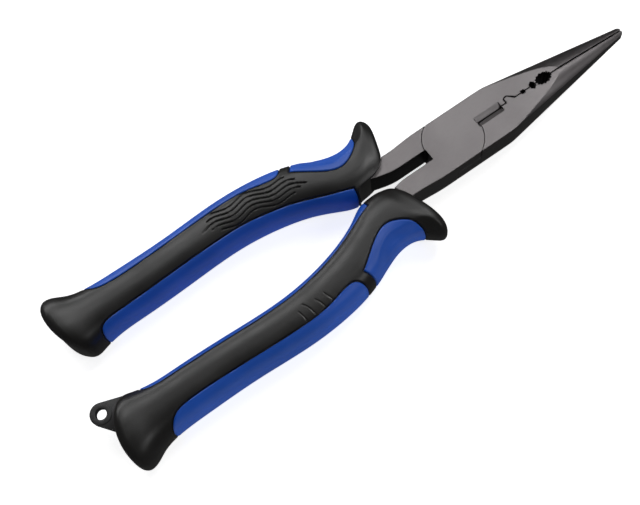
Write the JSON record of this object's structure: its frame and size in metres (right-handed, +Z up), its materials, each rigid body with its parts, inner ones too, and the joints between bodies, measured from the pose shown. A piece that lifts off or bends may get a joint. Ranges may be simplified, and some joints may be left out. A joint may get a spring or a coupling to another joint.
{
  "type": "fishing pliers",
  "caption": "Long-nose pliers with a riveted lap joint, two-colour moulded grips and a lanyard eye.",
  "frame": {"origin": "middle of the pliers' bounding box, on the surface that they lie on, with the jaws closed", "axes": "+X to the jaw tip, +Z up along the pivot axis, +Y to the left of someone who looks along the jaws"},
  "size_m": [0.2162, 0.0666, 0.0203],
  "materials": {
    "steel": "satin black-nickel plating on ground steel",
    "soft_black": "satin soft moulding",
    "hard_black": "matte moulding",
    "blue": "satin soft moulding"
  },
  "bodies": {
    "root": {"left_jaw_half": "steel", "pivot_rivet": "steel", "lanyard_tab": "hard_black", "right_grip_core": "hard_black", "right_grip_cover": "soft_black", "right_thumb_pad": "blue", "right_outer_strip": "blue", "right_inner_strip": "blue"},
    "right_jaw": {"right_jaw_half": "steel", "left_grip_core": "hard_black", "left_grip_cover": "soft_black", "left_thumb_pad": "blue", "left_outer_strip": "blue", "left_inner_strip": "blue"}
  },
  "joints": [
    {"name": "pivot", "type": "hinge", "parent": "root", "child": "right_jaw", "pos_m": [0.03775, 0, 0.01016], "axis": [0, 0, -1], "range_deg": [0, 50]}
  ]
}
